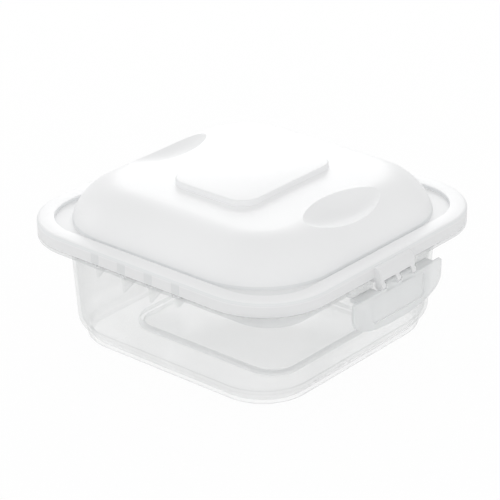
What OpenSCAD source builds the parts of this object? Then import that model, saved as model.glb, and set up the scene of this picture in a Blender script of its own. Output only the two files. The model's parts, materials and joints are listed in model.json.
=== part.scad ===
// Clip-lid storage box for a freezer: a clear bowl with a foot and a flange, a frosted
// domed lid with two finger scoops, a soft seal and a swinging clip on the front and back.
// The origin is the middle of the base, +Z is up, -Y is the front clip.

/* [Overall] */
// Outer width of the lid rim and of the bowl's flange, the same both ways
rim_w = 160; // [140:1:195]
// Height of the flange's underside above the table
bowl_h = 52; // [42:1:75]
// Height of the dome's flat top above the lid rim
dome_rise = 16.2; // [15:0.1:24]

/* [Bowl] */
// Wall thickness of the bowl
bowl_wall = 1.5; // [1.2:0.1:2]
// Thickness of the bowl's floor
floor_t = 1.8; // [1.4:0.1:2.4]
// Corner radius of the bowl just under the flange
bowl_corner = 31; // [26:0.5:36]
// How far the wall leans in from the flange to the bottom curve
wall_lean = 2.4; // [1:0.1:4]
// Radius of the curve between the wall and the foot
bottom_curve = 7.2; // [6:0.1:9]
// Height of the curve's centre above the table
bottom_curve_z = 11.8; // [10.5:0.1:14]
// How far the foot stands in from the wall
foot_inset = 4.1; // [3.5:0.1:5]
// Edge radius under the foot
foot_round = 3; // [2:0.1:4]
// Width of the raised floor panel, left to right
panel_x = 69; // [50:1:84]
// Length of the raised floor panel, front to back
panel_y = 86; // [60:1:90]
// Corner radius of the raised floor panel
panel_corner = 13; // [8:0.5:18]
// Height by which the floor panel is raised
panel_rise = 3; // [2:0.1:4]

/* [Flange] */
// Distance from the bowl's wall to the flange's edge
flange_reach = 11; // [10:0.5:14]
// Thickness of the flange
flange_t = 1.5; // [1.2:0.1:2]
// Corner radius of the thumb tab, where one corner of the flange sticks out from under the lid
tab_corner = 19.3; // [15:0.1:26]
// Thickness of the upstand that carries the seal
upstand_t = 1.6; // [1.2:0.1:2]
// Height of the upstand above the flange
upstand_h = 3.7; // [3:0.1:5]
// Distance from the flange's edge to the upstand's outer face
upstand_inset = 5.4; // [4.8:0.1:6]

/* [Grip ribs] */
// Distance between neighbouring ribs
rib_pitch = 16; // [12:0.5:20]
// Thickness of each rib
rib_t = 1.4; // [1:0.1:2]
// How far the two middle ribs hang below the flange
rib_drop = 7.4; // [5:0.1:9]
// How far the two outer ribs hang below the flange
rib_drop_outer = 4.8; // [3:0.1:6]
// Rise of a rib's lower edge from its tip to the wall
rib_rise = 4; // [2:0.1:4.4]
// Distance of a rib's tip from the flange's edge
rib_tip_inset = 1.4; // [1.2:0.1:2.4]
// Distance of a rib's outer edge from the flange's edge, at the flange
rib_top_inset = 0.8; // [0.4:0.1:1.2]

/* [Lid] */
// Wall thickness of the lid
lid_wall = 1.6; // [1.2:0.1:2]
// Corner radius of the lid rim
rim_corner = 33.6; // [30:0.1:38]
// Depth of the lid rim, from its top down to the flange's underside
rim_depth = 8.7; // [8.2:0.1:11]
// Width of the flat band on top of the rim
band_w = 8.5; // [8.1:0.1:10]
// Depth of the trough between the band and the dome
trough_depth = 1.8; // [1:0.1:2.2]
// Width of the step between the band and the dome along a side
trough_step = 0.6; // [0.3:0.1:2]
// Corner radius at the foot of the dome
dome_corner = 40; // [36:0.5:46]
// Radius of the roll from the dome's side to its top
dome_roll = 24; // [14:0.5:26]
// Lean of the dome's side from upright, in degrees
dome_lean = 17; // [10:1:24]
// Gap between the lid's skirt and the flange below it
skirt_gap = 0.3; // [0.2:0.1:0.6]

/* [Top plate] */
// Width of the raised plate on the dome, left to right
plate_x = 66; // [50:1:72]
// Length of the raised plate, front to back
plate_y = 47.5; // [36:0.5:56]
// Corner radius of the raised plate
plate_corner = 10.4; // [6:0.1:14]
// Height of the raised plate above the dome
plate_rise = 3.4; // [1.5:0.1:4]

/* [Finger scoops] */
// Radius of a scoop across its middle
scoop_r = 16; // [12:0.5:20]
// Radius of the bow along a scoop
scoop_bow = 56.8; // [45:0.1:70]
// Height at which the scoop's axis floats off the dome's roll
scoop_float = 10.2; // [8:0.1:12]
// Tilt of a scoop from facing straight up, in degrees
scoop_tilt = 12.2; // [5:0.1:25]

/* [Clips] */
// Width of a clip
clip_w = 64; // [56:1:72]
// Height of a clip's flap
clip_h = 18.4; // [16:0.1:22]
// Thickness of a clip
clip_t = 1.8; // [1.5:0.1:2.2]
// Radius of the bowed lower edge
clip_bow = 89; // [70:1:150]
// Corner radius at the bottom of a clip
clip_corner = 9; // [6:0.5:9]
// Depth of the thumb recess in a clip's outer face
recess_depth = 0.8; // [0.4:0.1:1]
// Border left around the thumb recess at the sides
recess_side = 13; // [9:0.5:16]
// Border left under the thumb recess
recess_foot = 4.2; // [3:0.1:6]
// Border left above the thumb recess
recess_head = 1.6; // [1:0.1:3]
// How much tighter the thumb recess's lower corners are than the clip's
recess_tighter = 4; // [2:0.5:5]
// Width of the hinge strap in the middle of a clip
strap_w = 24.8; // [20:0.1:30]
// Diameter of the hinge pin
pin_d = 2; // [1.6:0.1:2.4]
// Wall of a hinge barrel round its pin
barrel_wall = 0.85; // [0.7:0.05:1.1]
// Width of each of the three webs that hold the pin
web_w = 2.8; // [2.2:0.1:3.4]
// Thickness of the ledge above the webs
ledge_t = 2; // [1.6:0.1:2.4]
// Length by which the pin's ends stop inside the outer webs
pin_inset = 1; // [0.4:0.1:1.6]
// Depth of the notch in a flap's top edge, under the strap
notch_d = 0.7; // [0.4:0.1:1.2]
// Gap between a clip's top edge and the flange
clip_gap = 2.9; // [2.4:0.1:4]
// Length of each catch
catch_w = 14; // [8:0.5:15]
// How far a catch reaches under the bar that it holds
catch_grip = 1.4; // [0.8:0.1:1.8]
// Height of a catch
catch_t = 1.9; // [1.5:0.1:2.4]
// Distance between the hinge strap's passage and a catch
catch_side = 0.5; // [0.3:0.1:1.5]
// Depth of the bar that a catch holds, front to back
bar_d = 3.2; // [2.4:0.1:3.6]
// Distance of a bar's face from the flange's edge
bar_inset = 0.2; // [0.1:0.1:0.4]
// Length by which a bar passes its catch at each end
bar_past = 0.5; // [0:0.1:1.5]

/* [Seal] */
// How far the seal overhangs the upstand's outer face
seal_over = 0.6; // [0.3:0.1:1]

/* [Fits] */
// Radial clearance between the hinge pin and its bore
pin_fit = 0.05; // [0.02:0.01:0.1]
// Clearance between pieces that pass each other
pass_gap = 0.3; // [0.2:0.05:0.5]
// Clearance between the lid's plug wall and the upstand
plug_gap = 0.7; // [0.4:0.1:1]
// Clearance between the seal and the riser inside it
seal_gap = 0.1; // [0.05:0.05:0.2]

/* [Hidden] */
$fn = 96;
// Overlap of solids that join
eps = 0.01;
// Overrun of a cut past what it cuts, and lap of a neck into its flap
over = 1;

half = rim_w / 2;
wall_top = half - flange_reach;
wall_low = wall_top - wall_lean;
foot_half = wall_low - foot_inset;
bowl_c = wall_top - bowl_corner;
flange_top = bowl_h + flange_t;
rim_c = half - rim_corner;
rim_top = bowl_h + rim_depth;
upstand_out = half - upstand_inset;
upstand_in = upstand_out - upstand_t;
upstand_top = flange_top + upstand_h;

skirt_in = half - lid_wall;
skirt_foot = flange_top + skirt_gap;
band_in = half - band_w;
band_under = rim_top - lid_wall;
trough_top = rim_top - trough_depth;
trough_under = trough_top - lid_wall;
plug_out = upstand_in - plug_gap;
plug_in = plug_out - lid_wall;
riser_out = band_in + lid_wall;

dome_base = band_in - trough_step;
dome_c = dome_base - dome_corner;
dome_top = rim_top + dome_rise;
roll_z = dome_top - dome_roll;
roll_x = dome_base - dome_roll * cos(dome_lean)
    - (roll_z + dome_roll * sin(dome_lean) - trough_top) * tan(dome_lean);

scoop_y = roll_x + (dome_roll + scoop_float) * sin(scoop_tilt);
scoop_z = roll_z + (dome_roll + scoop_float) * cos(scoop_tilt);
scoop_len = 30;
scoop_steps = 10;

clip_top = bowl_h - clip_gap;
clip_foot = clip_top - clip_h;
barrel_r = pin_d / 2 + pin_fit + barrel_wall;
hinge_y = half + barrel_r + 2 * pass_gap;
hinge_z = bowl_h - clip_gap / 2;
clip_out = hinge_y + barrel_r;
clip_in = clip_out - clip_t;
catch_x = strap_w / 2 + pass_gap + catch_side;
bar_out = half - bar_inset;
bar_t = clip_gap - pass_gap;
catch_in = bar_out - catch_grip;

// Points on an arc, from angle a0 to a1
function arc(x, y, r, a0, a1, n) =
    [for (i = [0:n]) [x + r * cos(a0 + (a1 - a0) * i / n), y + r * sin(a0 + (a1 - a0) * i / n)]];

// Angle below level at which an arc of radius r reaches the width dx
function meets(dx, r) = acos(dx / r);

// Outline of a square with half width h whose corner centres are at c
module rounded(h, c) {
    square([2 * h, 2 * c], center = true);
    square([2 * c, 2 * h], center = true);
    for (x = [-c, c], y = [-c, c])
        translate([x, y]) circle(h - c);
}

// Outline of a rectangle with rounded corners
module rounded_rect(w, l, r) {
    square([w, l - 2 * r], center = true);
    square([w - 2 * r, l], center = true);
    for (x = [-1, 1], y = [-1, 1])
        translate([x * (w / 2 - r), y * (l / 2 - r)]) circle(r);
}

// A profile carried round a square with corner centres at c; its x starts at the centres
module carried(c) {
    for (a = [0:90:270]) rotate(a) {
        translate([c, c, 0]) rotate_extrude(angle = 90) children();
        translate([c, c, 0]) rotate([90, 0, 0]) linear_extrude(2 * c) children();
    }
}

// A square frame standing from z0 to z1 between two half widths with one corner centre
module frame(outer, inner, c, z0, z1) {
    translate([0, 0, z0]) linear_extrude(z1 - z0) difference() {
        rounded(outer, c);
        rounded(inner, c);
    }
}

// Cross section of the bowl's wall, curve, foot and floor
module bowl_profile() {
    cx = wall_low - bottom_curve - bowl_c;
    foot = foot_half - bowl_c;
    top = wall_top - bowl_c;
    low = wall_low - bowl_c;
    out_a = meets(foot - cx, bottom_curve);
    in_a = meets(foot - bowl_wall - cx, bottom_curve - bowl_wall);
    polygon(concat(
        [[0, 0]],
        arc(foot - foot_round, foot_round, foot_round, -90, 0, 6),
        arc(cx, bottom_curve_z, bottom_curve, -out_a, 0, 8),
        [[top, flange_top], [top - bowl_wall, flange_top]],
        arc(cx, bottom_curve_z, bottom_curve - bowl_wall, 0, -in_a, 8),
        arc(foot - foot_round, foot_round + floor_t - bowl_wall, foot_round - bowl_wall, 0, -90, 4),
        [[0, floor_t]]
    ));
}

// Outline of the flange: the lid rim's outline with a thumb tab at the front left corner
module flange_outline() {
    rounded(half, rim_c);
    intersection() {
        rounded(half, half - tab_corner);
        translate([-half, -half]) square(rim_corner);
    }
}

// One grip rib under the flange, with a stub above the flange beside the upstand
module grip_rib(drop) {
    rotate([90, 0, 0]) linear_extrude(rib_t, center = true) {
        polygon([
            [wall_top - bowl_wall / 2, bowl_h + eps],
            [wall_top - bowl_wall / 2, bowl_h - drop + rib_rise],
            [half - rib_tip_inset, bowl_h - drop],
            [half - rib_top_inset, bowl_h + eps]
        ]);
        translate([upstand_out - eps, flange_top - eps])
            square([skirt_in - pass_gap - upstand_out, upstand_h - pass_gap]);
    }
}

// Bar under the flange's edge that a clip's catch holds
module catch_bar(side) {
    translate([side * (catch_x + catch_w / 2), -bar_out + bar_d / 2, bowl_h - bar_t / 2 + eps])
        cube([catch_w + 2 * bar_past, bar_d, bar_t], center = true);
}

module bowl() {
    color([0.86, 0.9, 0.9, 0.5]) difference() {
        union() {
            carried(bowl_c) bowl_profile();
            translate([-bowl_c, -bowl_c, 0]) cube([2 * bowl_c, 2 * bowl_c, floor_t]);
            translate([0, 0, floor_t - eps]) linear_extrude(panel_rise + eps)
                rounded_rect(panel_x, panel_y, panel_corner);
            translate([0, 0, bowl_h]) linear_extrude(flange_t) difference() {
                flange_outline();
                rounded(wall_top - bowl_wall / 2, bowl_c);
            }
            frame(upstand_out, upstand_in, rim_c, flange_top - eps, upstand_top);
            for (a = [0, 180], i = [-1.5:1:1.5])
                rotate(a) translate([0, i * rib_pitch, 0])
                    grip_rib(abs(i) > 1 ? rib_drop_outer : rib_drop);
            for (a = [0, 180], side = [-1, 1])
                rotate(a) catch_bar(side);
        }
        translate([0, 0, -eps]) linear_extrude(panel_rise + eps)
            rounded_rect(panel_x - 2 * floor_t, panel_y - 2 * floor_t, panel_corner - floor_t);
    }
}

// Cross section of the dome from its middle to its foot
module dome_profile() {
    rx = roll_x - dome_c;
    foot = dome_base - dome_c;
    inner = dome_roll - lid_wall;
    drop = (roll_z + inner * sin(dome_lean) - trough_under) * tan(dome_lean);
    polygon(concat(
        [[0, dome_top]],
        arc(rx, roll_z, dome_roll, 90, dome_lean, 12),
        [[foot, trough_top], [foot, trough_under]],
        [[rx + inner * cos(dome_lean) + drop, trough_under]],
        arc(rx, roll_z, inner, dome_lean, 90, 12),
        [[0, dome_top - lid_wall]]
    ));
}

// Long narrow barrel with its axis along X, used to press a finger scoop into the dome
module scoop(grow) {
    start = scoop_bow - scoop_r;
    side = [for (i = [-scoop_steps:scoop_steps])
        let (x = scoop_len * i / scoop_steps) [sqrt(scoop_bow * scoop_bow - x * x) - start + grow, x]];
    translate([0, -scoop_y, scoop_z]) rotate([0, 90, 0]) rotate_extrude()
        polygon(concat([[0, -scoop_len]], side, [[0, scoop_len]]));
}

// Wall of a finger scoop, kept inside the dome
module scoop_wall() {
    intersection() {
        difference() {
            scoop(lid_wall);
            scoop(0);
        }
        translate([-scoop_len, -dome_base, trough_under]) cube([2 * scoop_len, dome_base, dome_top]);
        dome_block();
    }
}

// Everything inside the dome's outer face
module dome_block() {
    rx = roll_x - dome_c;
    carried(dome_c) polygon(concat(
        [[0, dome_top - eps]],
        arc(rx, roll_z, dome_roll - eps, 90, dome_lean, 12),
        [[dome_base - dome_c - eps, trough_top], [dome_base - dome_c - eps, trough_under], [0, trough_under]]
    ));
    translate([-dome_c, -dome_c, trough_under])
        cube([2 * dome_c, 2 * dome_c, dome_top - eps - trough_under]);
}

// Fixed half of a clip's hinge: a ledge on the skirt, three webs and the pin
module hinge_fixed() {
    ledge_y = hinge_y + pin_d / 4;
    translate([-strap_w / 2, -ledge_y, skirt_foot])
        cube([strap_w, ledge_y - half + lid_wall / 2, ledge_t]);
    for (x = [-1, 0, 1])
        translate([x * (strap_w - web_w) / 2 - web_w / 2, 0, 0]) {
            translate([0, -hinge_y, hinge_z]) rotate([0, 90, 0]) cylinder(r = barrel_r, h = web_w);
            translate([0, -ledge_y, hinge_z])
                cube([web_w, ledge_y - half - pass_gap, skirt_foot + eps - hinge_z]);
        }
    translate([-strap_w / 2 + pin_inset, -hinge_y, hinge_z]) rotate([0, 90, 0])
        cylinder(d = pin_d, h = strap_w - 2 * pin_inset);
}

module lid() {
    color([0.97, 0.98, 0.98, 0.9]) {
        difference() {
            union() {
                carried(dome_c) dome_profile();
                translate([-dome_c, -dome_c, dome_top - lid_wall]) cube([2 * dome_c, 2 * dome_c, lid_wall]);
            }
            scoop(0);
            rotate(180) scoop(0);
        }
        scoop_wall();
        rotate(180) scoop_wall();
        translate([0, 0, dome_top - eps]) linear_extrude(plate_rise + eps)
            rounded_rect(plate_x, plate_y, plate_corner);
        translate([0, 0, trough_under]) linear_extrude(lid_wall) difference() {
            rounded(riser_out, rim_c);
            rounded(dome_base - lid_wall / 2, dome_c);
        }
        frame(riser_out, band_in, rim_c, trough_under, rim_top);
        frame(half, band_in, rim_c, band_under, rim_top);
        frame(half, skirt_in, rim_c, skirt_foot, rim_top);
        frame(plug_out, plug_in, rim_c, skirt_foot, trough_under + eps);
        hinge_fixed();
        rotate(180) hinge_fixed();
    }
}

module seal_ring() {
    color([0.93, 0.95, 0.94])
        frame(upstand_out + seal_over, riser_out + seal_gap, rim_c, upstand_top, band_under);
}

// Outline of a clip's flap, or of its thumb recess when it is drawn in
module flap_outline(side, foot, head) {
    w = clip_w - 2 * side;
    r = clip_corner - (side > 0 ? recess_tighter : 0);
    low = clip_foot + foot;
    intersection() {
        union() {
            translate([-w / 2, low + r]) square([w, clip_top - head - low - r]);
            translate([-w / 2 + r, low]) square([w - 2 * r, r + eps]);
            for (x = [-1, 1]) translate([x * (w / 2 - r), low + r]) circle(r);
        }
        translate([0, low + clip_bow]) circle(clip_bow);
    }
}

// One barrel of a clip's hinge with the neck that joins it to the flap
module knuckle(side) {
    long = (strap_w - 3 * web_w) / 2 - 2 * pass_gap;
    start = side * (web_w / 2 + pass_gap + long / 2) - long / 2;
    difference() {
        union() {
            translate([start, -hinge_y, hinge_z]) rotate([0, 90, 0]) cylinder(r = barrel_r, h = long);
            translate([start, -clip_out, clip_top - over]) cube([long, clip_t, hinge_z - clip_top + over]);
        }
        translate([start - over, -hinge_y, hinge_z]) rotate([0, 90, 0])
            cylinder(r = pin_d / 2 + pin_fit, h = long + 2 * over);
    }
}

module clip() {
    difference() {
        translate([0, -clip_in, 0]) rotate([90, 0, 0]) linear_extrude(clip_t) flap_outline(0, 0, 0);
        translate([0, -clip_out + recess_depth, 0]) rotate([90, 0, 0]) linear_extrude(clip_t)
            flap_outline(recess_side, recess_foot, recess_head);
        translate([-strap_w / 2 - pass_gap, -clip_out - over, clip_top - notch_d])
            cube([strap_w + 2 * pass_gap, clip_t + 2 * over, notch_d + over]);
    }
    for (side = [-1, 1]) {
        knuckle(side);
        translate([side * (catch_x + catch_w / 2), -(clip_in + catch_in) / 2, clip_top - catch_t / 2])
            cube([catch_w, clip_in - catch_in + eps, catch_t], center = true);
    }
}

module front_clip() {
    color([0.9, 0.93, 0.93, 0.7]) clip();
}

module back_clip() {
    color([0.9, 0.93, 0.93, 0.7]) rotate(180) clip();
}

bowl();
lid();
seal_ring();
front_clip();
back_clip();
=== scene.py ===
import json
import math
from math import cos, radians, sin, sqrt, tan

import bpy
from mathutils import Matrix, Vector

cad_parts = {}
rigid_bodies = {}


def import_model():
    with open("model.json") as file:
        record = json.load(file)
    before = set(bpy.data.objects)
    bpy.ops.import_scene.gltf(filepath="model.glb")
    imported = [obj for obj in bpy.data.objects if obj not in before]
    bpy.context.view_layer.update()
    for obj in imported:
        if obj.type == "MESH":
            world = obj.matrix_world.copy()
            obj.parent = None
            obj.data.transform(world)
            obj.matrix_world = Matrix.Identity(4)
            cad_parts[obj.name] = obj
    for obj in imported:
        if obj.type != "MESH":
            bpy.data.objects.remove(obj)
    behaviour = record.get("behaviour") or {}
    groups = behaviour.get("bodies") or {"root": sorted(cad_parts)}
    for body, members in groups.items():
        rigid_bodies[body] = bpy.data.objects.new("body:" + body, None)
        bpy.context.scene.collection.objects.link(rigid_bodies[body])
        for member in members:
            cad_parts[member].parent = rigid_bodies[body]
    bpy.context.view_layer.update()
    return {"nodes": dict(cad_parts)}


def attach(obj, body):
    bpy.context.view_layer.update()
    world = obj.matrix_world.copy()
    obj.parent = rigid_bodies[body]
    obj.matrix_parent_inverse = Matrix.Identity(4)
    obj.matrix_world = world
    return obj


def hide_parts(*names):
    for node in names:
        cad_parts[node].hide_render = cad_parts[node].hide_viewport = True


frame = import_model()
bpy.ops.object.select_all(action="DESELECT")

# Camera
# The place, turn and lens come from fitting the box's rim, skirt, foot and base outlines to the photo.
azimuth, elevation, roll = radians(-49.37), radians(25.12), radians(-0.52)
camera_distance = 1.0432
aim_right, aim_up = -0.00184, 0.03557
sensor_mm, focal_px, image_px = 36, 2210.7, 500

back = Vector((sin(azimuth) * cos(elevation), -cos(azimuth) * cos(elevation), sin(elevation)))
level = Vector((cos(azimuth), sin(azimuth), 0))
upright = back.cross(level)
right = level * cos(roll) + upright * sin(roll)
up = upright * cos(roll) - level * sin(roll)
bpy.ops.object.camera_add()
camera = bpy.context.object
camera.matrix_world = Matrix((
    (right.x, up.x, back.x, 0),
    (right.y, up.y, back.y, 0),
    (right.z, up.z, back.z, 0),
    (0, 0, 0, 1),
))
camera.location = back * camera_distance + right * aim_right + up * aim_up
camera.data.sensor_width = sensor_mm
camera.data.lens = focal_px / image_px * sensor_mm
camera.data.clip_end = 10
bpy.context.scene.camera = camera
bpy.context.scene.view_settings.view_transform = "Standard"


# Studio
# A white sweep under a soft box low behind the box, a weaker one at the left and a wide one at the front.
# The sweep and the sky look white to the camera and in the plastic, and the floor keeps the box's faint shadow.
def soft_box(name, place, aim, width, watts):
    bpy.ops.object.light_add(type="AREA", location=place)
    lamp = bpy.context.object
    lamp.name = name
    lamp.data.shape = "SQUARE"
    lamp.data.size = width
    lamp.data.energy = watts
    lamp.rotation_euler = (Vector(aim) - Vector(place)).to_track_quat("-Z", "Y").to_euler()
    return lamp


soft_box("back_light", (0.86, 0.74, 0.44), (0, 0, 0.05), 0.5, 3.0)
soft_box("left_light", (-0.35, 1.1, 0.4), (0, 0, 0.05), 0.4, 0.8)
soft_box("front_light", (-1.0, -0.9, 0.3), (0, 0, 0.05), 0.9, 1.7)

world = bpy.data.worlds.new("studio")
world.use_nodes = True
bpy.context.scene.world = world
sky = world.node_tree
sky.nodes.clear()


def node(tree, kind, place=(0, 0), **values):
    made = tree.nodes.new(kind)
    made.location = place
    for name, value in values.items():
        setattr(made, name, value)
    return made


def seen_directly(tree):
    """1 where a ray comes from the camera, a reflection or the clear plastic, 0 for light on surfaces."""
    path = node(tree, "ShaderNodeLightPath")
    total = None
    for output in ("Is Camera Ray", "Is Glossy Ray", "Is Transmission Ray"):
        if total is None:
            total = path.outputs[output]
            continue
        both = node(tree, "ShaderNodeMath", operation="MAXIMUM")
        tree.links.new(total, both.inputs[0])
        tree.links.new(path.outputs[output], both.inputs[1])
        total = both.outputs[0]
    return total


light_level, white_level = 0.98, 1.0
dim = node(sky, "ShaderNodeBackground")
dim.inputs["Strength"].default_value = light_level
bright = node(sky, "ShaderNodeBackground")
bright.inputs["Strength"].default_value = white_level
choose = node(sky, "ShaderNodeMixShader")
sky.links.new(seen_directly(sky), choose.inputs[0])
sky.links.new(dim.outputs[0], choose.inputs[1])
sky.links.new(bright.outputs[0], choose.inputs[2])
sky.links.new(choose.outputs[0], node(sky, "ShaderNodeOutputWorld").inputs[0])

floor_paint = bpy.data.materials.new("floor_paint")
floor_paint.use_nodes = True
paint = floor_paint.node_tree
paint.nodes.clear()
matt = node(paint, "ShaderNodeBsdfDiffuse")
matt.inputs["Color"].default_value = (0.95, 0.95, 0.95, 1)
glow = node(paint, "ShaderNodeEmission")
share = node(paint, "ShaderNodeMath", operation="MULTIPLY")
share.inputs[1].default_value = 0.97
paint.links.new(seen_directly(paint), share.inputs[0])
blend = node(paint, "ShaderNodeMixShader")
paint.links.new(share.outputs[0], blend.inputs[0])
paint.links.new(matt.outputs[0], blend.inputs[1])
paint.links.new(glow.outputs[0], blend.inputs[2])
paint.links.new(blend.outputs[0], node(paint, "ShaderNodeOutputMaterial").inputs[0])
bpy.ops.mesh.primitive_plane_add(size=6)
floor = bpy.context.object
floor.name = "floor"
floor.data.materials.append(floor_paint)


# Bowl
# Clear injection-moulded polypropylene with a polished face: a square bowl with round corners that
# stands on a foot ring, with a raised panel in its floor, a flange that the lid sits on, grip ribs
# under the flange at the left and right, and bars for the catches at the front and back.
MM = 0.001
half = 80.0
wall_t, floor_t = 1.5, 1.8
bowl_c, rim_c = 38.0, 46.4
wall_top_x, wall_low_x = 69.0, 66.6
curve_r, curve_z = 7.2, 11.8
foot_x, foot_r = 62.5, 2.6
flange_z, flange_t, flange_edge = 52.0, 1.5, 0.5
upstand_out, upstand_t, upstand_top, upstand_edge = 74.6, 1.6, 57.2, 0.5
turn_steps, side_steps = 18, 12


def arc(x, z, r, a0, a1, n):
    """Points on an arc from angle a0 to a1, in degrees."""
    angles = [radians(a0 + (a1 - a0) * i / n) for i in range(n + 1)]
    return [(x + r * cos(a), z + r * sin(a)) for a in angles]


def start_mesh(name):
    """An empty mesh in edit mode."""
    bpy.ops.object.select_all(action="DESELECT")
    bpy.ops.mesh.primitive_plane_add(size=0.001, enter_editmode=True)
    bpy.context.object.name = name
    bpy.context.object.data.name = name
    bpy.ops.mesh.delete(type="VERT")
    return bpy.context.object


def draw_chain(points):
    """A chain of edges through points in mm, drawn by extruding one vertex from each to the next."""
    bpy.ops.mesh.select_all(action="DESELECT")
    bpy.ops.mesh.primitive_plane_add(size=0.001, enter_editmode=False)
    bpy.ops.mesh.merge(type="CENTER")
    bpy.ops.transform.translate(value=Vector(points[0]) * MM)
    for here, there in zip(points, points[1:]):
        step = (Vector(there) - Vector(here)) * MM
        bpy.ops.mesh.extrude_region_move(TRANSFORM_OT_translate={"value": step})
    bpy.ops.mesh.select_linked()


def carry(profile, centre, steps=side_steps):
    """Carries a profile of (half width, height) round the box: a turn at each corner, then a side."""
    draw_chain([(x, centre, z) for x, z in profile])
    side = 2 * centre / steps * MM
    for quarter in range(4):
        a = radians(45 + 90 * quarter)
        place = (sqrt(2) * centre * MM * cos(a), sqrt(2) * centre * MM * sin(a), 0)
        bpy.ops.mesh.spin(steps=turn_steps, angle=radians(-90), center=place, axis=(0, 0, 1))
        along = Vector((cos(radians(180 + 90 * quarter)), sin(radians(180 + 90 * quarter)), 0))
        for step in range(steps):
            bpy.ops.mesh.extrude_region_move(TRANSFORM_OT_translate={"value": along * side})


def weld():
    bpy.ops.mesh.select_all(action="SELECT")
    bpy.ops.mesh.remove_doubles(threshold=0.00001)


def pick_open_loops(piece, heights, widest=1e9, narrowest=0):
    """Selects the open edges that lie at one of the heights, within a range of half widths, in mm."""
    bpy.ops.mesh.select_all(action="DESELECT")
    bpy.ops.mesh.select_mode(type="EDGE")
    bpy.ops.mesh.select_non_manifold(extend=False)
    bpy.ops.object.mode_set(mode="OBJECT")
    points = piece.data.vertices
    for edge in piece.data.edges:
        ends = [points[i].co / MM for i in edge.vertices]
        reach = max(max(abs(e.x), abs(e.y)) for e in ends)
        at_height = any(all(abs(e.z - z) < 0.01 for e in ends) for z in heights)
        edge.select = edge.select and at_height and narrowest <= reach <= widest
    bpy.ops.object.mode_set(mode="EDIT")
    bpy.ops.mesh.select_mode(type="EDGE")


def close_mesh():
    """Leaves edit mode with every face turned outwards."""
    bpy.ops.mesh.select_all(action="SELECT")
    bpy.ops.mesh.normals_make_consistent(inside=False)
    bpy.ops.mesh.select_mode(type="VERT")
    bpy.ops.object.mode_set(mode="OBJECT")


def combine(piece, other, operation):
    """Joins another solid to a piece, or cuts it out, and removes the other."""
    boolean = piece.modifiers.new("solid", "BOOLEAN")
    boolean.object = other
    boolean.operation = operation
    boolean.solver = "EXACT"
    bpy.context.view_layer.objects.active = piece
    bpy.ops.object.modifier_apply(modifier="solid")
    bpy.data.objects.remove(other)


out_a = math.degrees(math.acos((foot_x - wall_low_x + curve_r) / curve_r))
in_a = math.degrees(math.acos((foot_x - wall_t - wall_low_x + curve_r) / (curve_r - wall_t)))
curve_x = wall_low_x - curve_r
outside = (
    [(bowl_c, 0)]
    + arc(foot_x - foot_r, foot_r, foot_r, -90, 0, 6)
    + arc(curve_x, curve_z, curve_r, -out_a, 0, 8)
    + [(wall_top_x, flange_z)]
)
inside = (
    [(bowl_c, floor_t)]
    + arc(foot_x - foot_r, foot_r + floor_t - wall_t, foot_r - wall_t, -90, 0, 4)
    + arc(curve_x, curve_z, curve_r - wall_t, -in_a, 0, 8)
    + [(wall_top_x - wall_t, flange_z + flange_t)]
)
upstand_in = upstand_out - upstand_t
flange_top = flange_z + flange_t
ledge = (
    [(upstand_in, flange_top)]
    + arc(upstand_in + upstand_edge, upstand_top - upstand_edge, upstand_edge, 180, 90, 3)
    + arc(upstand_out - upstand_edge, upstand_top - upstand_edge, upstand_edge, 90, 0, 3)
    + [(upstand_out, flange_top)]
    + arc(half - flange_edge, flange_top - flange_edge, flange_edge, 90, 0, 3)
    + arc(half - flange_edge, flange_z + flange_edge, flange_edge, 0, -90, 3)
    + [(upstand_in, flange_z)]
)
bowl = start_mesh("clear_bowl")
for profile, centre in ((outside, bowl_c), (inside, bowl_c), (ledge, rim_c)):
    carry(profile, centre)
weld()
for height in (flange_z, flange_top):
    pick_open_loops(bowl, [height])
    bpy.ops.mesh.fill(use_beauty=True)
for height in (0, floor_t):
    pick_open_loops(bowl, [height], widest=bowl_c + 0.1)
    bpy.ops.mesh.edge_face_add()
close_mesh()


def pick_edges(piece, wanted):
    """Selects the edges whose ends, in mm, the test wants."""
    bpy.ops.mesh.select_mode(type="EDGE")
    bpy.ops.mesh.select_all(action="DESELECT")
    bpy.ops.object.mode_set(mode="OBJECT")
    points = piece.data.vertices
    for edge in piece.data.edges:
        a, b = (points[i].co / MM for i in edge.vertices)
        edge.select = wanted(a, b)
    bpy.ops.object.mode_set(mode="EDIT")


def rounded_block(name, low, high, corner=0, top_edge=0, foot_edge=0, draft=0, bends=8):
    """A block from its low to its high corner in mm, with round upright corners, a round top edge
    and foot edge, and sides that draw in by the draft towards the top."""
    low, high = Vector(low), Vector(high)
    size = high - low
    bpy.ops.object.select_all(action="DESELECT")
    bpy.ops.mesh.primitive_cube_add(size=1, enter_editmode=True)
    block = bpy.context.object
    block.name = name
    bpy.ops.transform.resize(value=size * MM)
    bpy.ops.transform.translate(value=(low + high) / 2 * MM)
    if corner:
        pick_edges(block, lambda a, b: (a - b).to_2d().length < 0.001)
        bpy.ops.mesh.bevel(offset=corner * MM, segments=bends, affect="EDGES")
    if draft:
        pick_edges(block, lambda a, b: min(a.z, b.z) > high.z - 0.001)
        shrink = (1 - 2 * draft / size.x, 1 - 2 * draft / size.y, 1)
        bpy.ops.transform.resize(value=shrink, center_override=(low + high) / 2 * MM)
    for height, width in ((high.z, top_edge), (low.z, foot_edge)):
        if width:
            pick_edges(block, lambda a, b: abs(a.z - height) + abs(b.z - height) < 0.002)
            bpy.ops.mesh.bevel(offset=width * MM, segments=4, affect="EDGES")
    close_mesh()
    return block


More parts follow.
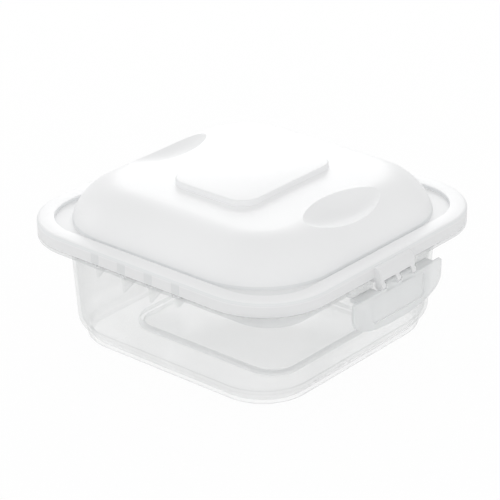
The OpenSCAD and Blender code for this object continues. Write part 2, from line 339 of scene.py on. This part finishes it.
def rod(name, radius, ends, y, z, sides=48):
    """A cylinder along X between two ends, in mm."""
    bpy.ops.object.select_all(action="DESELECT")
    bpy.ops.mesh.primitive_cylinder_add(vertices=sides, radius=radius * MM, depth=(ends[1] - ends[0]) * MM,
                                        enter_editmode=True)
    bpy.context.object.name = name
    bpy.ops.transform.rotate(value=radians(90), orient_axis="Y", center_override=(0, 0, 0))
    bpy.ops.transform.translate(value=Vector(((ends[0] + ends[1]) / 2, y, z)) * MM)
    bpy.ops.object.mode_set(mode="OBJECT")
    return bpy.context.object


def turned_half(piece):
    """A copy of a piece, turned half way round to the other side of the box."""
    bpy.ops.object.select_all(action="DESELECT")
    other = piece.copy()
    other.data = piece.data.copy()
    bpy.context.collection.objects.link(other)
    other.data.transform(Matrix.Rotation(math.pi, 4, "Z"))
    return other


tab_r = 19.3


def tab_reach(turn):
    """Distance from the rim's corner centre to the thumb tab's outline, at an angle from the side."""
    to_side = (half - rim_c) / max(cos(turn), sin(turn))
    if tan(min(turn, math.pi / 2 - turn)) * (half - rim_c) <= half - tab_r - rim_c:
        return to_side
    apart = half - tab_r - rim_c
    middle = apart * (cos(turn) + sin(turn))
    return middle + sqrt(middle ** 2 - 2 * apart ** 2 + tab_r ** 2)


for point in bowl.data.vertices:
    away = point.co.to_2d() / -MM - Vector((rim_c, rim_c))
    on_edge = flange_z - 0.01 < point.co.z / MM < flange_top + 0.01 and away.length > half - rim_c - flange_edge - 0.01
    if on_edge and min(away) >= 0:
        grown = away * (1 + (tab_reach(math.atan2(away.y, away.x)) - half + rim_c) / away.length)
        point.co.x, point.co.y = -(grown + Vector((rim_c, rim_c))) * MM

panel_x, panel_y, panel_r, panel_rise, panel_draft = 77.5, 93.0, 14.0, 3.0, 0.7
raised = rounded_block(
    "raised", (-panel_x / 2, -panel_y / 2, 1), (panel_x / 2, panel_y / 2, floor_t + panel_rise),
    panel_r, top_edge=1.1, draft=panel_draft)
hollow = rounded_block(
    "hollow", (-panel_x / 2 + floor_t, -panel_y / 2 + floor_t, -1),
    (panel_x / 2 - floor_t, panel_y / 2 - floor_t, panel_rise),
    panel_r - floor_t, top_edge=0.8, draft=panel_draft)
combine(bowl, raised, "UNION")
combine(bowl, hollow, "DIFFERENCE")

rib_pitch, rib_t, rib_drops, rib_rise = 16.0, 1.4, (4.8, 7.4, 7.4, 4.8), 4.0
rib_tip, rib_head, rib_edge = 1.4, 0.8, 0.3
skirt_in, pass_gap = 78.4, 0.3
lap = 0.4


def grip_rib(y, drop):
    """One rib: a tapering fin from the wall to near the flange's edge, and its stub above the flange."""
    rib = start_mesh("rib")
    outline = [
        (wall_top_x - 1, flange_z + lap), (wall_top_x - 1, flange_z - drop + rib_rise + 0.6),
        (half - rib_tip - 0.5, flange_z - drop + 0.1), (half - rib_tip, flange_z - drop + 0.2),
        (half - rib_head, flange_z + lap),
    ]
    draw_chain([(x, y - rib_t / 2, z) for x, z in outline])
    bpy.ops.mesh.edge_face_add()
    bpy.ops.mesh.extrude_region_move(TRANSFORM_OT_translate={"value": (0, rib_t * MM, 0)})
    pick_edges(rib, lambda a, b: abs(a.y - b.y) < 0.01 and min(a.z, b.z) < flange_z)
    bpy.ops.mesh.bevel(offset=rib_edge * MM, segments=2, affect="EDGES")
    close_mesh()
    stub = rounded_block(
        "stub", (upstand_out - lap, y - rib_t / 2, flange_top - lap),
        (skirt_in - pass_gap, y + rib_t / 2, upstand_top - pass_gap), 0, top_edge=0.3)
    combine(rib, stub, "UNION")
    return rib


for place, drop in zip((-1.5, -0.5, 0.5, 1.5), rib_drops):
    rib = grip_rib(place * rib_pitch, drop)
    combine(bowl, turned_half(rib), "UNION")
    combine(bowl, rib, "UNION")

bar_ends, bar_face, bar_d, bar_h = (12.7, 27.7), 79.8, 3.2, 2.6
for sign in (-1, 1):
    ends = sorted(sign * x for x in bar_ends)
    bar = rounded_block(
        "bar", (ends[0], -bar_face, flange_z - bar_h), (ends[1], -bar_face + bar_d, flange_z + lap), 0,
        foot_edge=0.4)
    combine(bowl, turned_half(bar), "UNION")
    combine(bowl, bar, "UNION")


def finish_piece(piece, body, stands_for, smooth=28):
    """Smooth shading up to an angle, and the piece's place in the assembly."""
    bpy.ops.object.select_all(action="DESELECT")
    piece.select_set(True)
    bpy.context.view_layer.objects.active = piece
    bpy.ops.object.shade_smooth_by_angle(angle=radians(smooth))
    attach(piece, body)
    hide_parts(stands_for)
    print(piece.name, len(piece.data.vertices), len(piece.data.polygons))


finish_piece(bowl, "bowl", "bowl")


# Lid
# Frosted polypropylene, moulded in one piece: a skirt and flat band round the edge, a trough, and a
# low dome with a raised plate. Two finger scoops are pressed into its front and back shoulders, and
# a strap at the front and back carries the clip's hinge.
lid_wall = 1.6
rim_top, band_in, riser_out = 60.7, 71.9, 73.1
band_edge, rim_edge, foot_edge = 0.5, 1.4, 0.5
trough_top, trough_under = 58.9, 57.3
skirt_foot, band_under = 53.8, 59.1
plug_out, plug_in = 72.3, 70.7
dome_c, dome_base = 30.9, 70.9
roll_r, roll_z, roll_x, lean = 24.0, 52.9, 47.1, 17.0
dome_top, crown_rise, crown_half = roll_z + roll_r, 1.1, 50.0

rim = (
    [(band_in, trough_top)]
    + arc(band_in + band_edge, rim_top - band_edge, band_edge, 180, 90, 4)
    + arc(half - rim_edge, rim_top - rim_edge, rim_edge, 90, 0, 6)
    + arc(half - foot_edge, skirt_foot + foot_edge, foot_edge, 0, -90, 4)
    + arc(skirt_in + foot_edge, skirt_foot + foot_edge, foot_edge, -90, -180, 4)
    + [(skirt_in, band_under), (riser_out, band_under), (riser_out, trough_under), (plug_out, trough_under)]
    + arc(plug_out - foot_edge, skirt_foot + foot_edge, foot_edge, 0, -90, 3)
    + arc(plug_in + foot_edge, skirt_foot + foot_edge, foot_edge, -90, -180, 3)
    + [(plug_in, trough_under)]
)


def dome_skin(inwards, foot_z):
    """The dome's profile, or the same drawn inwards by a part of the wall."""
    r = roll_r - inwards
    foot_x = roll_x + r * cos(radians(lean)) + (roll_z + r * sin(radians(lean)) - foot_z) * tan(radians(lean))
    flat = [(dome_c + (roll_x - dome_c) * share, roll_z + r) for share in (0.75, 0.5, 0.25, 0)]
    return [(foot_x, foot_z)] + arc(roll_x, roll_z, r, lean, 90, 16) + flat


def crown(piece):
    """Lifts the flat top of the dome a little towards its middle."""
    for point in piece.data.vertices:
        x, y, z = point.co / MM
        if z > roll_z and max(abs(x), abs(y)) < crown_half:
            lift = (1 - (x / crown_half) ** 2) * (1 - (y / crown_half) ** 2)
            point.co.z += crown_rise * lift * MM


lid = start_mesh("frosted_lid")
carry(rim, rim_c)
for inwards, foot_z in ((0, trough_top), (lid_wall, trough_under)):
    carry(dome_skin(inwards, foot_z), dome_c)
weld()
for height in (trough_top, trough_under):
    pick_open_loops(lid, [height])
    bpy.ops.mesh.fill(use_beauty=True)
for inwards in (0, lid_wall):
    pick_open_loops(lid, [dome_top - inwards], widest=dome_c + 0.1)
    bpy.ops.mesh.fill_grid(span=side_steps)
close_mesh()
crown(lid)

block = start_mesh("dome_block")
middle = lid_wall / 2
carry(dome_skin(middle, trough_under), dome_c)
weld()
pick_open_loops(block, [dome_top - middle], widest=dome_c + 0.1)
bpy.ops.mesh.fill_grid(span=side_steps)
pick_open_loops(block, [trough_under])
bpy.ops.mesh.edge_face_add()
close_mesh()
crown(block)

scoop_r, scoop_bow, scoop_float, scoop_tilt, scoop_len = 16.0, 56.8, 10.2, radians(12.2), 30.0
scoop_y = roll_x + (roll_r + scoop_float) * sin(scoop_tilt)
scoop_z = roll_z + (roll_r + scoop_float) * cos(scoop_tilt)


def barrel(name, grow):
    """A long bowed barrel with its axis along X, the shape that a scoop is pressed with."""
    piece = start_mesh(name)
    places = [scoop_len * i / 24 for i in range(-24, 25)]
    radii = [sqrt(scoop_bow ** 2 - x ** 2) - scoop_bow + scoop_r + grow for x in places]
    side = [(x, -scoop_y, scoop_z + r) for x, r in zip(places, radii)]
    draw_chain([(-scoop_len, -scoop_y, scoop_z)] + side + [(scoop_len, -scoop_y, scoop_z)])
    bpy.ops.mesh.spin(steps=120, angle=math.tau, center=(0, -scoop_y * MM, scoop_z * MM), axis=(1, 0, 0))
    weld()
    close_mesh()
    return piece


scoop_wall = barrel("scoop_wall", lid_wall)
combine(scoop_wall, block, "INTERSECT")
combine(lid, turned_half(scoop_wall), "UNION")
combine(lid, scoop_wall, "UNION")
press = barrel("press", 0)
combine(lid, turned_half(press), "DIFFERENCE")
combine(lid, press, "DIFFERENCE")

plate_x, plate_y, plate_r, plate_top, plate_edge = 66.0, 47.5, 10.4, 80.3, 0.7
plate = rounded_block(
    "plate", (-plate_x / 2, -plate_y / 2, dome_top - 0.3), (plate_x / 2, plate_y / 2, plate_top),
    plate_r, top_edge=plate_edge, draft=0.25, bends=12)
combine(lid, plate, "UNION")

hinge_y, hinge_z, barrel_r, pin_r, web_w, strap_w = 82.5, 50.55, 1.9, 1.0, 2.8, 24.8
strap_out, strap_low, strap_high, strap_bend = 83.7, 52.9, 59.2, 4.0
outline = [(half - lap, strap_low), (half - lap, strap_high)]
outline += [(y, z) for y, z in reversed(arc(half - 0.3, strap_high - strap_bend, strap_bend, 0, 82, 8))]
outline += arc(strap_out - 0.4, strap_low + 0.4, 0.4, 0, -90, 3)
hinge = start_mesh("hinge")
draw_chain([(-strap_w / 2, -y, z) for y, z in outline])
bpy.ops.mesh.edge_face_add()
bpy.ops.mesh.extrude_region_move(TRANSFORM_OT_translate={"value": (strap_w * MM, 0, 0)})
pick_edges(hinge, lambda a, b: abs(a.x - b.x) < 0.01 and max(a.y, b.y) < -half - 0.1)
bpy.ops.mesh.bevel(offset=0.35 * MM, segments=3, affect="EDGES")
close_mesh()
for x in (-1, 0, 1):
    middle_x = x * (strap_w - web_w) / 2
    ends = (middle_x - web_w / 2, middle_x + web_w / 2)
    neck = rounded_block(
        "neck", (ends[0], -hinge_y - 0.9, hinge_z), (ends[1], -half - pass_gap, strap_low + lap))
    combine(neck, rod("web", barrel_r, ends, -hinge_y, hinge_z), "UNION")
    combine(hinge, neck, "UNION")
pin_reach = strap_w / 2 - 1
combine(hinge, rod("pin", pin_r, (-pin_reach, pin_reach), -hinge_y, hinge_z), "UNION")
combine(lid, turned_half(hinge), "UNION")
combine(lid, hinge, "UNION")
finish_piece(lid, "lid", "lid")


# Clips
# Semi-clear polypropylene flaps that swing on the lid's hinge: a bowed flap with a thumb recess, two
# barrels on the hinge line, and two catches that snap under the bars of the bowl's flange.
clip_half, clip_top, clip_foot, clip_shoulder, clip_power = 32.0, 49.1, 30.7, 42.7, 2.45
clip_out, clip_t, clip_edge = 84.4, 1.8, 0.45
recess_half, recess_low, recess_high, recess_r, recess_d = 19.0, 34.6, 47.5, 3.0, 0.9
catch_ends, catch_in, catch_t = (13.2, 27.2), 78.4, 1.9
knuckle_gap = 0.3


def bowed_foot(steps=40):
    """Points along a flap's lower outline, from its left side round to its right."""
    depth = clip_shoulder - clip_foot
    angles = [math.pi * i / steps for i in range(steps + 1)]
    bend = 2 / clip_power
    return [
        (-clip_half * math.copysign(abs(cos(a)) ** bend, cos(a)), clip_shoulder - depth * sin(a) ** bend)
        for a in angles
    ]


clip = start_mesh("front_flap")
top_r = 1.2
top_left = arc(-clip_half + top_r, clip_top - top_r, top_r, 90, 180, 4)
top_right = arc(clip_half - top_r, clip_top - top_r, top_r, 0, 90, 4)
outline = top_left + bowed_foot() + top_right
draw_chain([(x, -clip_out, z) for x, z in outline])
bpy.ops.mesh.edge_face_add()
bpy.ops.mesh.extrude_region_move(TRANSFORM_OT_translate={"value": (0, clip_t * MM, 0)})
pick_edges(clip, lambda a, b: abs(a.y - b.y) < 0.01 and a.y != 0)
bpy.ops.mesh.bevel(offset=clip_edge * MM, segments=3, affect="EDGES")
close_mesh()
recess = rounded_block(
    "recess", (-recess_half, recess_low, -1), (recess_half, recess_high, recess_d), recess_r,
    top_edge=0.35, draft=0.2)
recess.data.transform(Matrix(((1, 0, 0, 0), (0, 0, 1, -clip_out * MM), (0, 1, 0, 0), (0, 0, 0, 1))))
recess.data.flip_normals()
combine(clip, recess, "DIFFERENCE")
knuckle_long = (strap_w - 3 * web_w) / 2 - 2 * knuckle_gap
for sign in (-1, 1):
    start = sign * (web_w / 2 + knuckle_gap + knuckle_long / 2) - knuckle_long / 2
    ends = (start, start + knuckle_long)
    neck = rounded_block(
        "neck", (ends[0], -clip_out, clip_top - 1.4), (ends[1], -clip_out + clip_t, hinge_z))
    combine(neck, rod("barrel", barrel_r, ends, -hinge_y, hinge_z), "UNION")
    combine(neck, rod("bore", pin_r + 0.05, (ends[0] - 1, ends[1] + 1), -hinge_y, hinge_z), "DIFFERENCE")
    combine(clip, neck, "UNION")
    ends = sorted(sign * x for x in catch_ends)
    catch = rounded_block(
        "catch", (ends[0], -clip_out + clip_t - lap, clip_top - catch_t), (ends[1], -catch_in, clip_top), 0,
        top_edge=0.3, foot_edge=0.5)
    combine(clip, catch, "UNION")
back_flap = turned_half(clip)
back_flap.name = "back_flap"
finish_piece(clip, "front_clip", "front_clip")
finish_piece(back_flap, "back_clip", "back_clip")


# Plastic finishes
# Every piece is moulded, so each surface has the faint waves of plastic that cooled on steel and a
# fine satin grain, and the clear pieces look denser where their walls are seen edge on.
def moulded_skin():
    """The unevenness of a moulded face: a tone near 1, a change of roughness, and a height."""
    group = bpy.data.node_groups.new("moulded_skin", "ShaderNodeTree")
    for name, value in (("Waves", 30.0), ("Grain", 1500.0), ("Depth", 0.2)):
        made = group.interface.new_socket(name, in_out="INPUT", socket_type="NodeSocketFloat")
        made.default_value = value
    for name in ("Tone", "Roughness", "Height"):
        group.interface.new_socket(name, in_out="OUTPUT", socket_type="NodeSocketFloat")
    given = node(group, "NodeGroupInput")
    sent = node(group, "NodeGroupOutput")
    places = node(group, "ShaderNodeTexCoord")
    noises = []
    for name, detail in (("Waves", 2.0), ("Grain", 3.0)):
        noise = node(group, "ShaderNodeTexNoise")
        noise.inputs["Detail"].default_value = detail
        group.links.new(places.outputs["Object"], noise.inputs["Vector"])
        group.links.new(given.outputs[name], noise.inputs["Scale"])
        noises.append(noise.outputs["Fac"])
    waves, grain = noises
    for source, output, low, high in ((waves, "Tone", 0.975, 1.0), (grain, "Roughness", -0.05, 0.05)):
        spread = node(group, "ShaderNodeMapRange")
        spread.inputs["From Min"].default_value = 0.3
        spread.inputs["From Max"].default_value = 0.7
        spread.inputs["To Min"].default_value = low
        spread.inputs["To Max"].default_value = high
        group.links.new(source, spread.inputs["Value"])
        group.links.new(spread.outputs["Result"], sent.inputs[output])
    mix = node(group, "ShaderNodeMath", operation="MULTIPLY_ADD")
    group.links.new(grain, mix.inputs[0])
    group.links.new(given.outputs["Depth"], mix.inputs[1])
    group.links.new(waves, mix.inputs[2])
    group.links.new(mix.outputs[0], sent.inputs["Height"])
    return group


skin = moulded_skin()


def plastic(name, colour, roughness, waves, grain, depth, bump, **settings):
    """A moulded plastic with its own waves, grain and bump strength."""
    made = bpy.data.materials.new(name)
    made.use_nodes = True
    tree = made.node_tree
    shader = tree.nodes["Principled BSDF"]
    for setting, value in settings.items():
        shader.inputs[setting.replace("_", " ")].default_value = value
    face = node(tree, "ShaderNodeGroup", node_tree=skin)
    for setting, value in (("Waves", waves), ("Grain", grain), ("Depth", depth)):
        face.inputs[setting].default_value = value
    tint = node(tree, "ShaderNodeMix", data_type="RGBA", blend_type="MULTIPLY")
    tint.inputs[0].default_value = 1
    tint.inputs[6].default_value = (*colour, 1)
    tree.links.new(face.outputs["Tone"], tint.inputs[7])
    tree.links.new(tint.outputs[2], shader.inputs["Base Color"])
    rough = node(tree, "ShaderNodeMath", operation="ADD")
    rough.inputs[1].default_value = roughness
    tree.links.new(face.outputs["Roughness"], rough.inputs[0])
    tree.links.new(rough.outputs[0], shader.inputs["Roughness"])
    relief = node(tree, "ShaderNodeBump")
    relief.inputs["Strength"].default_value = bump
    relief.inputs["Distance"].default_value = 0.0002
    tree.links.new(face.outputs["Height"], relief.inputs["Height"])
    tree.links.new(relief.outputs["Normal"], shader.inputs["Normal"])
    return made, tree, shader


def see_through(tree, shader, face_on, edge_on):
    """Opacity that rises from face-on to edge-on, as a thin wall's does."""
    edge = node(tree, "ShaderNodeLayerWeight")
    edge.inputs["Blend"].default_value = 0.15
    spread = node(tree, "ShaderNodeMapRange")
    spread.inputs["To Min"].default_value = face_on
    spread.inputs["To Max"].default_value = edge_on
    tree.links.new(edge.outputs["Facing"], spread.inputs["Value"])
    tree.links.new(spread.outputs["Result"], shader.inputs["Alpha"])
    return spread.outputs["Result"]


def inside(tree, *ranges):
    """1 within the ranges of |x|, |y| and z, in mm, and 0 elsewhere."""
    places = node(tree, "ShaderNodeTexCoord")
    parts = node(tree, "ShaderNodeSeparateXYZ")
    tree.links.new(places.outputs["Object"], parts.inputs[0])
    total = None
    for axis, (low, high) in zip("XYZ", ranges):
        size = node(tree, "ShaderNodeMath", operation="ABSOLUTE")
        tree.links.new(parts.outputs[axis], size.inputs[0])
        near = node(tree, "ShaderNodeMath", operation="COMPARE")
        near.inputs[1].default_value = (low + high) / 2 * MM
        near.inputs[2].default_value = (high - low) / 2 * MM
        tree.links.new(size.outputs[0], near.inputs[0])
        if total is not None:
            both = node(tree, "ShaderNodeMath", operation="MULTIPLY")
            tree.links.new(total, both.inputs[0])
            tree.links.new(near.outputs[0], both.inputs[1])
            near = both
        total = near.outputs[0]
    return total


def combined(tree, operation, first, second):
    made = node(tree, "ShaderNodeMath", operation=operation)
    for socket, given in zip(made.inputs, (first, second)):
        if isinstance(given, float):
            socket.default_value = given
        else:
            tree.links.new(given, socket)
    return made.outputs[0]


clear, tree, shader = plastic("clear_pp", (0.95, 0.965, 0.965), 0.13, 26, 700, 0.05, 0.12)
alpha = see_through(tree, shader, 0.07, 0.85)
# The flange and the ribs above it are made more opaque for their thickness, and their colour is also
# painted a deeper grey as painted shade. The outer face of the riser round the floor panel gets painted shade too.
flange = inside(tree, (0, half + 10), (0, half + 10), (flange_z - 0.1, flange_top + 0.2))
dense_and_shaded = combined(tree, "MULTIPLY", flange, 0.45)
for y in (rib_pitch / 2, rib_pitch * 1.5):
    stub = inside(tree, (upstand_out, half + 1), (y - rib_t, y + rib_t), (flange_z, upstand_top))
    dense_and_shaded = combined(tree, "MAXIMUM", dense_and_shaded, combined(tree, "MULTIPLY", stub, 0.6))
# Painted shade: the riser round the floor panel is made more opaque and painted a deeper grey on its outer face.
riser = inside(tree, (0, panel_x / 2 + 1), (0, panel_y / 2 + 1), (floor_t + 0.1, floor_t + panel_rise - 0.15))
places = node(tree, "ShaderNodeTexCoord")
outwards = node(tree, "ShaderNodeVectorMath", operation="DOT_PRODUCT")
tree.links.new(places.outputs["Object"], outwards.inputs[0])
tree.links.new(places.outputs["Normal"], outwards.inputs[1])
outer_face = combined(tree, "GREATER_THAN", outwards.outputs["Value"], 0.015)
riser = combined(tree, "MULTIPLY", riser, 0.68)
dense_and_shaded = combined(tree, "MAXIMUM", dense_and_shaded, combined(tree, "MULTIPLY", riser, outer_face))
solid = combined(tree, "MAXIMUM", alpha, combined(tree, "MULTIPLY", dense_and_shaded, 0.6))
tree.links.new(solid, shader.inputs["Alpha"])
# Mixes the painted shade colour into the bowl's base colour where the mask is strong.
shade = node(tree, "ShaderNodeMix", data_type="RGBA")
shade.inputs[6].default_value = (0.95, 0.965, 0.965, 1)
shade.inputs[7].default_value = (0.68, 0.70, 0.72, 1)
tree.links.new(dense_and_shaded, shade.inputs[0])
tint = shader.inputs["Base Color"].links[0].from_node
tree.links.new(shade.outputs[2], tint.inputs[6])
bowl.data.materials.append(clear)

frosted, tree, shader = plastic("frosted_pp", (0.965, 0.97, 0.972), 0.45, 18, 1800, 0.25, 0.22)
# The skirt is one thin wall, so what stands just behind it shows through.
places = node(tree, "ShaderNodeTexCoord")
height = node(tree, "ShaderNodeSeparateXYZ")
tree.links.new(places.outputs["Object"], height.inputs[0])
below_band = node(tree, "ShaderNodeMapRange")
skirt_alpha = 0.88
for socket, value in (("From Min", (rim_top - 2.2) * MM), ("From Max", (rim_top - 1.0) * MM),
                      ("To Min", skirt_alpha), ("To Max", 1.0)):
    below_band.inputs[socket].default_value = value
tree.links.new(height.outputs["Z"], below_band.inputs["Value"])
tree.links.new(below_band.outputs["Result"], shader.inputs["Alpha"])
# Painted shade: a band round the rim's edge and the trough's sides is painted a deeper grey.
trough_and_rim_shade = node(tree, "ShaderNodeMath", operation="COMPARE")
trough_and_rim_shade.inputs[1].default_value = (rim_top - 0.9) * MM
trough_and_rim_shade.inputs[2].default_value = 0.6 * MM
tree.links.new(height.outputs["Z"], trough_and_rim_shade.inputs[0])
# Mixes the painted shade colour into the lid's base colour.
shade = node(tree, "ShaderNodeMix", data_type="RGBA")
shade.inputs[6].default_value = (0.975, 0.98, 0.985, 1)
shade.inputs[7].default_value = (0.89, 0.905, 0.91, 1)
painted_shade = trough_and_rim_shade.outputs[0]
# Painted shadow: bars of deeper grey on the skirt at the ribs' places stand for the ribs and their shadow behind it.
for y in (rib_pitch / 2, rib_pitch * 1.5):
    bar = inside(tree, (skirt_in - 1, half + 1), (y - 2.4, y + 2.4), (skirt_foot, rim_top - 1.2))
    painted_shade = combined(tree, "MAXIMUM", painted_shade, bar)
tree.links.new(painted_shade, shade.inputs[0])
tint = shader.inputs["Base Color"].links[0].from_node
tree.links.new(shade.outputs[2], tint.inputs[6])
lid.data.materials.append(frosted)

clip_pp, tree, shader = plastic("clip_pp", (0.93, 0.945, 0.95), 0.22, 40, 900, 0.1, 0.15)
see_through(tree, shader, 0.45, 0.9)
clip.data.materials.append(clip_pp)
back_flap.data.materials.append(clip_pp)

silicone, tree, shader = plastic("seal_silicone", (0.9, 0.92, 0.91), 0.5, 60, 2500, 0.4, 0.2)
seal = frame["nodes"]["seal_ring"]
seal.data.materials.clear()
seal.data.materials.append(silicone)
